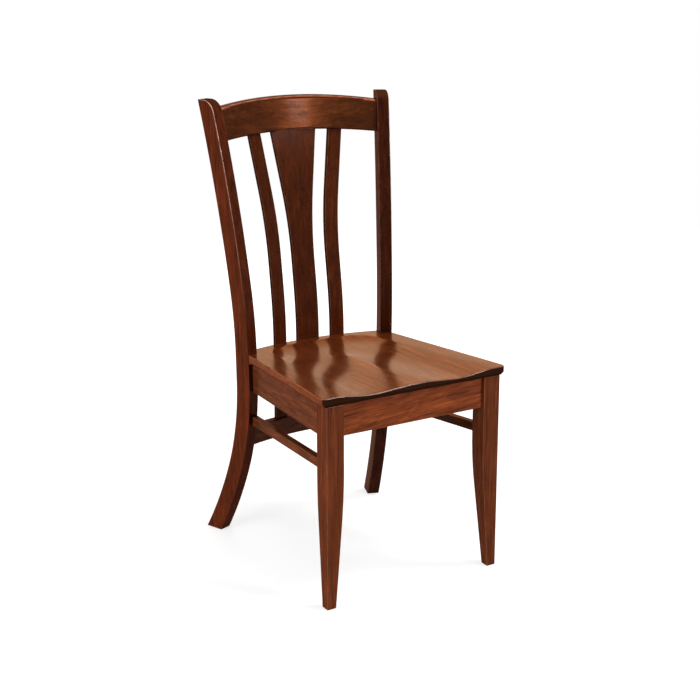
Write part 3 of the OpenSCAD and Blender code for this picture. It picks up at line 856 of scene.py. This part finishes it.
@dataclass
class FrontLegs:
    """The two front legs, tapered on their inner faces, under a plane with an upward normal."""

    seat_under: Line
    span: float = 432.0
    top: float = 41.0
    foot: float = 21.5
    taper_z: float = 245.0
    taper_r: float = 1400.0
    arris: float = 1.6
    steps: int = 10

    def stations(self) -> list[tuple[float, float]]:
        """Works out the taper, which runs out in an arc.

        Returns:
            Heights from the foot up, each with the leg's width there.
        """
        angle = math.atan((self.top - self.foot) / self.taper_z)
        end = self.taper_z + self.taper_r * math.tan(angle / 2)
        turns = [angle * (1 - i / self.steps) for i in range(self.steps + 1)]
        arc = [(end - self.taper_r * math.sin(turn), self.top - self.taper_r * (1 - math.cos(turn)))
               for turn in turns]
        return [(0.0, self.foot), *arc, (SEAT_H, self.top)]

    def left(self) -> BMesh:
        """Makes the left leg.

        Returns:
            Its mesh.
        """
        (level, size), *stations = self.stations()
        bm = rectangle(size, size)
        face = bm.faces[:]
        for z, wide in stations:
            made = bmesh.ops.extrude_face_region(bm, geom=face)["geom"]
            verts = of_kind(made, BMVert)
            bmesh.ops.scale(bm, vec=(wide / size, wide / size, 1), verts=verts)
            bmesh.ops.translate(bm, vec=(0, 0, z - level), verts=verts)
            if level:  # only the foot's own face is an outer one
                bmesh.ops.delete(bm, geom=face, context="FACES_ONLY")
            face, size, level = of_kind(made, BMFace), wide, z
        bmesh.ops.translate(bm, vec=(-self.span / 2, 0, 0), verts=bm.verts)
        bmesh.ops.recalc_face_normals(bm, faces=bm.faces)
        cut(bm, *self.seat_under, cap=True)
        bm.normal_update()
        ease(bm, arrises(bm), self.arris)
        return bm

    def build(self) -> None:
        """Makes and dresses both legs."""
        bm = self.left()
        # Painted shade: the right leg is darkened a little
        Piece("leg_right", "front_leg_right", Finish.LEG, 0.47, soaked=0.25,
              sides=0.25).dress(mirrored(bm))
        Piece("leg_left", "front_leg_left", Finish.LEG, 0.66).dress(bm)


@dataclass
class Back:
    """The crest rail, the splat with its slats, and the lower rail, between the posts.

    The splat is upright up to bend_z and then bends back to its rake. The crest rail's front
    roundings are painted pale as highlights where their normals lie in the ranges given, the lower
    one only as far as rubbed from the middle.
    """

    posts: RearPosts
    bow_r: float = BOW_R
    sweep: float = math.radians(24)
    steps: int = 64
    rake: float = math.radians(8.4)
    slat_t: float = 10.0
    bend_z: float = 440.0
    bend_r: float = 900.0
    slat_arris: float = 1.4
    crest_t: float = 22.0
    crest_top: float = 1007.0
    crest_low: float = 928.0
    crest_top_r: float = 1450.0
    crest_low_r: float = 1800.0
    crest_mid: float = 959.6
    crest_rounds: tuple[float, ...] = (6.0, 5.0, 6.0, 10.0)
    crest_segments: int = 6
    facing: float = -0.2
    top_rounding: tuple[float, float] = (0.5, 0.92)
    low_rounding: float = -0.4
    # How far from the middle the lower rounding's painted highlight reaches
    rubbed: float = 50.0
    rail_t: float = 21.0
    rail_low: float = 222.0
    rail_h: float = 43.5
    rail_round: float = 2.5
    rail_segments: int = 3
    # The slats' sides are darkened as painted shade
    slats: tuple[Piece, ...] = (
        Piece("splat", "center_splat", Finish.SLAT, 0.35, soaked=0.2, sides=0.6),
        Piece("side_slat_left", "slat_left", Finish.SLAT, 0.74, sides=0.6),
        Piece("side_slat_right", "slat_right", Finish.SLAT, 0.09, sides=0.6))

    def front_at(self, z: float) -> float:
        """Returns the depth of the raked splat's front face at height z."""
        bend_end = self.bend_z + self.bend_r * math.sin(self.rake)
        return SLAT_Y + self.bend_r * (1 - math.cos(self.rake)) + (z - bend_end) * math.tan(self.rake)

    def bowed(self, thick: float, high: float, rounds: Sequence[float], segments: int) -> BMesh:
        """Spins a rounded section round the bow.

        Args:
            thick: The section's thickness; its front is at y = 0 at the middle.
            high: Its height, from z = 0.
            rounds: Radii of its corners: front low, back low, back high, front high.
            segments: Edges in each corner.

        Returns:
            The mesh, longer than the rail.
        """
        bm = rectangle(thick, high)
        corners = sorted(bm.verts, key=lambda v: math.atan2(v.co.y - high / 2, v.co.x - thick / 2))
        for vert, radius in zip(corners, rounds):
            rounded(bm, [vert], radius, segments, "VERTICES")
        upright = Matrix(((0, 0, 1, 0), (1, 0, 0, 0), (0, 1, 0, 0), (0, 0, 0, 1)))
        bm.transform(upright)
        centre = Vector((0, -self.bow_r, 0))
        bmesh.ops.rotate(bm, cent=centre, matrix=Matrix.Rotation(self.sweep, 3, "Z"), verts=bm.verts)
        bmesh.ops.spin(bm, geom=all_of(bm), cent=centre, axis=UP, angle=-2 * self.sweep, steps=self.steps)
        bmesh.ops.recalc_face_normals(bm, faces=bm.faces)
        return bm

    def trim(self, bm: BMesh) -> None:
        """Cuts a bowed rail to length between the posts.

        Args:
            bm: The rail's mesh.
        """
        point, normal = self.posts.inner_plane()
        for side in (1, -1):
            flip = Vector((side, 1, 1))
            cut(bm, point * flip, normal * flip, cap=True)

    def crest(self) -> BMesh:
        """Makes the crest rail, arched below and crowned above.

        Returns:
            Its mesh.
        """
        high = self.crest_top - self.crest_low
        bm = self.bowed(self.crest_t, high, self.crest_rounds, self.crest_segments)
        set_back = (self.crest_t - self.slat_t) / 2
        tan, cos = math.tan(self.rake), math.cos(self.rake)
        for vert in bm.verts:
            x, y, share = vert.co.x, vert.co.y - set_back, vert.co.z / high
            low = self.crest_low - self.crest_low_r + math.sqrt(self.crest_low_r ** 2 - x * x)
            top = self.crest_top - self.crest_top_r + math.sqrt(self.crest_top_r ** 2 - x * x)
            z = low + (top - low) * share
            up = (z - self.crest_mid) / cos
            vert.co = (x, y / cos + self.front_at(self.crest_mid) + up * cos * tan, z)
        self.trim(bm)
        bm.normal_update()
        least, most = self.top_rounding
        fronts = [f for f in bm.faces if f.normal.y < self.facing]
        upper = [f for f in fronts if least < f.normal.z < most]
        lower = [f for f in fronts if f.normal.z < self.low_rounding
                 and abs(f.calc_center_median().x) < self.rubbed]
        # The marked roundings are painted pale by the stain: painted highlights
        mark_arris(bm, upper + lower)
        return bm

    def lower_rail(self) -> BMesh:
        """Makes the lower rail.

        Returns:
            Its mesh.
        """
        bm = self.bowed(self.rail_t, self.rail_h, (self.rail_round,) * 4, self.rail_segments)
        front = SLAT_Y - (self.rail_t - self.slat_t) / 2
        bmesh.ops.translate(bm, vec=(0, front, self.rail_low), verts=bm.verts)
        self.trim(bm)
        return bm

    def build(self) -> None:
        """Makes and dresses the back's pieces."""
        Piece("crest", "crest_rail", Finish.CREST, 0.13).dress(self.crest())
        Piece("lower_rail", "lower_back_rail", Finish.CROSS_RAIL, 0.52, soaked=0.5).dress(self.lower_rail())
        for slat in self.slats:
            bm = from_cad(slat.node)
            ease(bm, arrises(bm), self.slat_arris)
            slat.dress(bm)


@dataclass
class SeatFrame:
    """The aprons, stretchers, corner blocks and screws under the seat."""

    arris: float = 1.2
    long_edge: float = 90.0
    block_edge: float = 12.0
    block_arris: float = 0.8
    head_r: float = 4.0
    head_match: float = 0.1
    head_ease: float = 0.5
    socket_wall: float = 2.3
    socket_taper: float = 0.1
    socket_depth: float = 1.6
    rails: tuple[Piece, ...] = (
        Piece("apron_front", "front_apron", Finish.APRON, 0.17),
        Piece("apron_rear", "rear_apron", Finish.CROSS_RAIL, 0.28),
        Piece("apron_left", "side_apron_left", Finish.SIDE_RAIL, 0.39),
        Piece("apron_right", "side_apron_right", Finish.SIDE_RAIL, 0.50),
        Piece("stretcher_left", "side_stretcher_left", Finish.SIDE_RAIL, 0.61),
        # Painted shade on the right stretcher's sides
        Piece("stretcher_right", "side_stretcher_right", Finish.SIDE_RAIL, 0.72, sides=0.7))
    blocks: tuple[Piece, ...] = (
        Piece("block_front_left", "corner_block_front_left", Finish.BLOCK, 0.3),
        Piece("block_front_right", "corner_block_front_right", Finish.BLOCK, 0.5),
        Piece("block_rear_left", "corner_block_rear_left", Finish.BLOCK, 0.7),
        Piece("block_rear_right", "corner_block_rear_right", Finish.BLOCK, 0.9))
    screws: tuple[Piece, ...] = (
        Piece("screws_of_blocks", "block_screws", Finish.STEEL),
        Piece("screws_of_seat", "seat_screws", Finish.STEEL))

    def socketed(self, node: str) -> BMesh:
        """Copies a set of screws and sinks a socket into each head.

        Args:
            node: The CAD node of the screws.

        Returns:
            The mesh.
        """
        bm = from_cad(node)
        area = math.pi * self.head_r ** 2
        heads = [f for f in bm.faces if abs(f.calc_area() / area - 1) < self.head_match]
        rims = [e for f in heads for e in f.edges]
        for wall, depth in ((self.socket_wall, 0.0), (self.socket_taper, -self.socket_depth)):
            bmesh.ops.inset_individual(bm, faces=heads, thickness=wall, depth=depth)
        ease(bm, rims, self.head_ease, 2)
        return bm

    def build(self) -> None:
        """Makes and dresses everything under the seat."""
        for rail in self.rails:
            bm = from_cad(rail.node)
            ease(bm, arrises(bm, self.long_edge), self.arris)
            rail.dress(bm)
        for block in self.blocks:
            bm = from_cad(block.node)
            ease(bm, arrises(bm, self.block_edge), self.block_arris, 2)
            block.dress(bm)
        for screw_set in self.screws:
            screw_set.dress(self.socketed(screw_set.node))


@dataclass
class Seat:
    """The saddled seat of five glued boards, in its own frame: z = 0 on top and y = 0 at the front.

    Its outline has a straight front, two sides that converge by side_a and a bowed back. The edge
    is rounded by edge_r, upright down to the depth band, and cut under by under_cut. Each trough
    runs from front_x at the front to rear_x at rear_y, and its walls turn from soft to crisp over
    crisp_y. The saddle between them fades out towards saddle_end.
    """

    posts: RearPosts
    width: float = SEAT_W
    thick: float = 20.0
    slope: float = math.radians(1.6)
    side_a: float = math.atan((SEAT_W / 2 - POST_SPAN / 2 + SIDE_INSET) / (POST_Y + LIP))
    corner_r: float = 11.0
    corner_steps: int = 9
    back_r: float = BOW_R - 0.5
    back_y: float = LIP + SLAT_Y - BOW_R
    back_steps: int = 20
    back_step: float = math.radians(1.3)
    far: float = 456.0
    cell: float = 4.0
    merge: float = 0.15
    edge_r: float = 2.4
    edge_steps: int = 4
    edge_near: float = 0.3
    notch_near: float = 0.2
    band: float = 13.5
    under_cut: float = 5.5
    boards: int = 5
    first_board: float = 0.11
    next_board: float = 0.31
    gap: float = 0.6
    depth: float = 7.6
    trough: float = 82.0
    soft_trough: float = 1.18
    rear_edge: int = 4
    front_x: float = 104.0
    rear_x: float = 58.0
    rear_y: float = 345.0
    crisp_y: tuple[float, float] = (250.0, 360.0)
    saddle: float = 2.4
    saddle_x: float = 190.0
    saddle_end: float = 400.0
    saddle_fade: float = 150.0

    def place(self) -> Matrix:
        """Returns the seat's frame in the chair's."""
        return Matrix.Translation((0, -LIP, SEAT_H)) @ Matrix.Rotation(-self.slope, 4, "X")

    def under_plane(self) -> Line:
        """Returns a point and the upward normal of the seat's underside."""
        return self.place() @ Vector((0, 0, -self.thick)), self.place().to_3x3() @ UP

    def top_at(self, x: float, y: float) -> float:
        """Works out the saddled top: a trough for each thigh and a shallow saddle between them.

        Args:
            x: Distance from the centre line.
            y: Distance from the front edge.

        Returns:
            The top's height.
        """
        x = abs(x)
        run_x, run_y = self.rear_x - self.front_x, self.rear_y
        along = ramp((x - self.front_x) * run_x + y * run_y, 0.0, run_x ** 2 + run_y ** 2)
        side = math.hypot(x - self.front_x - along * run_x, y - along * run_y)
        across = math.hypot(max(0.0, x - self.rear_x), y - self.rear_y)
        near = min(side, across)
        soft = 0.5 + 0.5 * math.cos(math.pi * min(1.0, near / (self.trough * self.soft_trough)))
        crisp = max(0.0, 1.0 - (near / self.trough) ** self.rear_edge)
        rear = eased(ramp(y, *self.crisp_y))
        wide = 0.5 + 0.5 * math.cos(math.pi * min(1.0, x / self.saddle_x))
        length = eased(ramp(self.saddle_end - y, 0.0, self.saddle_fade))
        return -self.depth * (soft * (1 - rear) + crisp * rear) - self.saddle * wide * length * (1 - soft)

    def corner(self) -> Vector:
        """Returns the centre of the right front corner's rounding."""
        turn, r = self.side_a, self.corner_r
        return Vector((self.width / 2 - r * math.tan(turn) - r / math.cos(turn), r, 0))

    def outline(self, x: float, y: float) -> tuple[Vector, float]:
        """Finds the seat's outline near a point.

        Args:
            x: Distance from the centre line.
            y: Distance from the front edge.

        Returns:
            The direction straight out of it, and how far the point lies beyond its front, side or back.
        """
        side, x = (1.0, x) if x >= 0 else (-1.0, -x)
        point, back = Vector((x, y)), Vector((0.0, self.back_y))
        lean = heading(self.side_a).xy
        ways = {-y: Vector((0.0, -1.0)), (point - Vector((self.width / 2, 0.0))).dot(lean): lean,
                (point - back).length - self.back_r: (point - back).normalized()}
        out = point - self.corner().xy
        if out.x > 0 and -QUARTER <= math.atan2(out.y, out.x) <= self.side_a:
            normal = out.normalized()
        else:
            normal = ways[max(ways)]
        return Vector((side * normal.x, normal.y, 0.0)), max(ways)

    def planes(self) -> Iterator[Line]:
        """Goes round the outline in short straight stretches.

        Yields:
            A point and the outward normal of each stretch.
        """
        yield ORIGIN, Vector((0, -1, 0))
        for side in (1, -1):
            flip = Vector((side, 1, 1))
            yield Vector((self.width / 2, 0, 0)) * flip, heading(self.side_a) * flip
            for i in range(1, self.corner_steps):
                normal = heading(-QUARTER + (QUARTER + self.side_a) * i / self.corner_steps)
                yield (self.corner() + self.corner_r * normal) * flip, normal * flip
        for i in range(-self.back_steps, self.back_steps + 1):
            normal = heading(QUARTER - self.back_step * i)
            yield Vector((0, self.back_y, 0)) + self.back_r * normal, normal

    def notches(self) -> list[list[Line]]:
        """Places the notches round the posts.

        Returns:
            Each notch's two lines, as a point and a direction.
        """
        posts = self.posts
        along, into = heading(posts.toe), heading(posts.toe + QUARTER)
        corner = Vector((-posts.span / 2, posts.depth + LIP, 0)) - self.gap * into
        left = [(corner, along), (corner + (posts.width + self.gap) * along, into)]
        flips = (Vector((1, 1, 1)), Vector((-1, 1, 1)))
        return [[(point * flip, way * flip) for point, way in left] for flip in flips]

    def sheet(self) -> BMesh:
        """Cuts out the seat's top as a flat sheet, a rounding's width inside the outline.

        Returns:
            The sheet.
        """
        bm = bmesh.new()
        columns, rows = round(self.width / self.cell), round(self.far / self.cell)
        bmesh.ops.create_grid(bm, x_segments=columns, y_segments=rows, size=0.5)
        bmesh.ops.translate(bm, vec=(0, 0.5, 0), verts=bm.verts)
        bmesh.ops.scale(bm, vec=(self.width, self.far, 1), verts=bm.verts)
        for point, normal in self.planes():
            cut(bm, point - self.edge_r * normal, normal)
        for lines in self.notches():
            for point, way in lines:
                cut(bm, point, Vector((way.y, -way.x, 0)), clear=False)
            (a, along), (b, into) = lines
            gone = [f for f in bm.faces if (f.calc_center_median() - a).dot(into) > 0
                    and (f.calc_center_median() - b).dot(along) < 0]
            bmesh.ops.delete(bm, geom=gone, context="FACES")
        bmesh.ops.remove_doubles(bm, verts=bm.verts, dist=self.merge)
        return bm

    def rim(self, bm: BMesh) -> None:
        """Rounds the sheet's edge and carries it down to the underside.

        Args:
            bm: The sheet, with its top in shape.
        """
        lines = [line for notch in self.notches() for line in notch]
        posts_y = self.posts.depth

        def outward(vert: BMVert) -> Vector:
            """Works out how a rim vertex moves for one millimetre of the outline.

            Args:
                vert: The vertex.

            Returns:
                Its move; in a notch it slides along the notch's line or stays.
            """
            flat = Vector((vert.co.x, vert.co.y, 0))
            normal, beyond = self.outline(flat.x, flat.y)
            for point, way in lines:
                off_line = abs((flat - point).cross(way).z)
                if flat.x * point.x > 0 and off_line < self.notch_near and flat.y > posts_y:
                    on_outline = beyond > -self.edge_r - self.edge_near
                    return way / way.dot(normal) if on_outline else Vector((0, 0, 0))
            return normal

        edges = [e for e in bm.edges if e.is_boundary]
        ring = {v: (v.co.copy(), outward(v)) for e in edges for v in e.verts}
        # A stage says how far the edge has gone out and down, or out and to which level
        turns = [QUARTER * i / self.edge_steps for i in range(1, self.edge_steps + 1)]
        stages = [(self.edge_r * math.sin(a), self.edge_r * (1 - math.cos(a)), None) for a in turns]
        stages += [(self.edge_r, 0.0, -self.band), (self.edge_r - self.under_cut, 0.0, -self.thick)]
        rounding: list[BMFace] = []
        for out, down, level in stages:
            made = bmesh.ops.extrude_edge_only(bm, edges=edges)["geom"]
            edges = [e for e in of_kind(made, BMEdge) if e.is_boundary]
            if level is None:
                rounding += of_kind(made, BMFace)
            grown = {}
            for vert in of_kind(made, BMVert):
                source = next(e.other_vert(vert) for e in vert.link_edges if e.other_vert(vert) in ring)
                place, way = grown[vert] = ring[source]
                step = way * (out if level != -self.thick or place.y < posts_y else self.edge_r)
                vert.co = (place.x + step.x, place.y + step.y, place.z - down if level is None else level)
            ring = grown
        mark_arris(bm, rounding)
        bmesh.ops.contextual_create(bm, geom=edges)
        bmesh.ops.recalc_face_normals(bm, faces=bm.faces)

    def build(self) -> None:
        """Makes the seat, saws it into its boards and dresses them."""
        whole = self.sheet()
        for vert in whole.verts:
            vert.co.z = self.top_at(vert.co.x, vert.co.y)
        self.rim(whole)
        whole.transform(self.place())
        wide = self.width / self.boards
        for i in range(self.boards):
            bm = whole.copy()
            left = -self.width / 2 + i * wide
            if i > 0:
                cut(bm, Vector((left, 0, 0)), Vector((-1, 0, 0)), cap=True)
            if i < self.boards - 1:
                cut(bm, Vector((left + wide, 0, 0)), Vector((1, 0, 0)), cap=True)
            number = self.first_board + self.next_board * i
            Piece(f"seat_plank_{i + 1}", f"seat_board_{i + 1}", Finish.SEAT, number).dress(bm)
        whole.free()


# Studio


@dataclass(frozen=True)
class Lamp:
    """A soft box of some size in metres and power in watts, which gloss shows if it is mirrored."""

    name: str
    place: Triple
    aim: Triple
    size: tuple[float, float]
    power: float
    mirrored: bool = False

    def hang(self) -> None:
        """Hangs the lamp and turns it towards its aim."""
        data = bpy.data.lights.new(self.name, "AREA")
        data.shape, data.energy = "RECTANGLE", self.power
        data.size, data.size_y = self.size
        lamp = in_scene(self.name, data)
        turn = (Vector(self.place) - Vector(self.aim)).to_track_quat("Z", "Y").to_matrix().to_4x4()
        lamp.matrix_world = Matrix.Translation(self.place) @ turn
        lamp.visible_camera = False
        lamp.visible_glossy = self.mirrored


@dataclass
class Studio:
    """The pale floor, the soft light and the camera, in metres."""

    eye: Triple = (-1.49326, -2.448524, 1.28062)
    azimuth: float = 0.54821
    pitch: float = 0.240648
    lens: float = 68.77
    picture: int = 700
    raised: int = 50
    floor_size: float = 7.0
    floor_paint: Color = (0.45, 0.45, 0.45, 1.0)
    floor_glow: float = 0.9
    near_glow: float = 0.68
    near: float = 0.4
    far: float = 2.0
    ambient: float = 0.22
    lamps: tuple[Lamp, ...] = (
        Lamp("top", (0.2, -0.4, 3.0), (0, 0, 0.4), (2.4, 2.4), 30),
        Lamp("front", (1.45, -2.6, 1.85), (0, 0, 0.7), (0.5, 0.9), 34, mirrored=True),
        Lamp("left", (-2.8, -0.5, 1.3), (0, 0, 0.5), (1.6, 1.6), 46),
        Lamp("rear", (0.9, 3.0, 1.6), (0, 0, 0.5), (2.2, 2.0), 34),
        Lamp("right_top", (1.5, -0.9, 2.9), (0, 0.1, 0.6), (0.7, 0.7), 48))

    def camera(self) -> None:
        """Sets the camera at the photograph's place."""
        data = bpy.data.cameras.new("view")
        data.lens, data.shift_y = self.lens, -self.raised / self.picture
        camera = in_scene("view", data)
        right = heading(-self.azimuth)
        back = math.cos(self.pitch) * heading(-self.azimuth - QUARTER) + math.sin(self.pitch) * UP
        turn = Matrix((right, back.cross(right), back)).transposed().to_4x4()
        camera.matrix_world = Matrix.Translation(self.eye) @ turn
        bpy.context.scene.camera = camera

    def seen(self, g: Graph) -> NodeSocket:
        """Writes a mask of the rays that see the white background.

        Args:
            g: The graph of the world or of the floor's material.

        Returns:
            The mask.
        """
        path = g.add("LightPath")
        mirror = g.math("MAXIMUM", path.outputs["Is Glossy Ray"], path.outputs["Is Transmission Ray"])
        return g.math("MAXIMUM", path.outputs["Is Camera Ray"], mirror)

    def world(self) -> None:
        """Makes a soft world that is white where it is seen."""
        world = bpy.data.worlds.new("studio")
        world.use_nodes = True
        g = Graph(world.node_tree)
        soft = g.add("Background", {"Color": WHITE, "Strength": self.ambient})
        white = g.add("Background", {"Color": WHITE, "Strength": 1.0})
        mixed = g.add("MixShader", {0: self.seen(g), 1: soft.outputs[0], 2: white.outputs[0]})
        g.add("OutputWorld", {"Surface": mixed.outputs[0]})
        bpy.context.scene.world = world

    def floor(self) -> None:
        """Makes the white floor, which keeps the chair's shadow."""
        bm = rectangle(self.floor_size, self.floor_size)
        bmesh.ops.translate(bm, vec=(-self.floor_size / 2, -self.floor_size / 2, 0), verts=bm.verts)
        mesh = bpy.data.meshes.new("floor")
        bm.to_mesh(mesh)
        bm.free()
        floor = in_scene("floor", mesh)
        material = bpy.data.materials.new("floor")
        material.use_nodes = True
        g = Graph(material.node_tree)
        paint = g.add("BsdfDiffuse", {"Color": self.floor_paint})
        place = g.add("TexCoord").outputs["Object"]
        away = g.add("VectorMath", {0: place}, operation="LENGTH").outputs["Value"]
        strength = g.span(away, self.near, self.far, self.near_glow, self.floor_glow)
        glow = g.add("Emission", {"Color": WHITE, "Strength": g.times(self.seen(g), strength)})
        both = g.add("AddShader", {0: paint.outputs[0], 1: glow.outputs[0]})
        g.add("OutputMaterial", {"Surface": both.outputs[0]})
        mesh.materials.append(material)

    def build(self) -> None:
        """Sets up the studio."""
        self.camera()
        self.world()
        self.floor()
        for lamp in self.lamps:
            lamp.hang()
        bpy.context.scene.view_settings.view_transform = "Standard"


def main() -> None:
    """Builds the chair and the studio."""
    logging.basicConfig(level=logging.INFO, format="%(message)s")
    posts = RearPosts()
    seat = Seat(posts)
    for part in (posts, FrontLegs(seat.under_plane()), Back(posts), SeatFrame(), seat, Studio()):
        part.build()


if __name__ == "__main__":
    main()
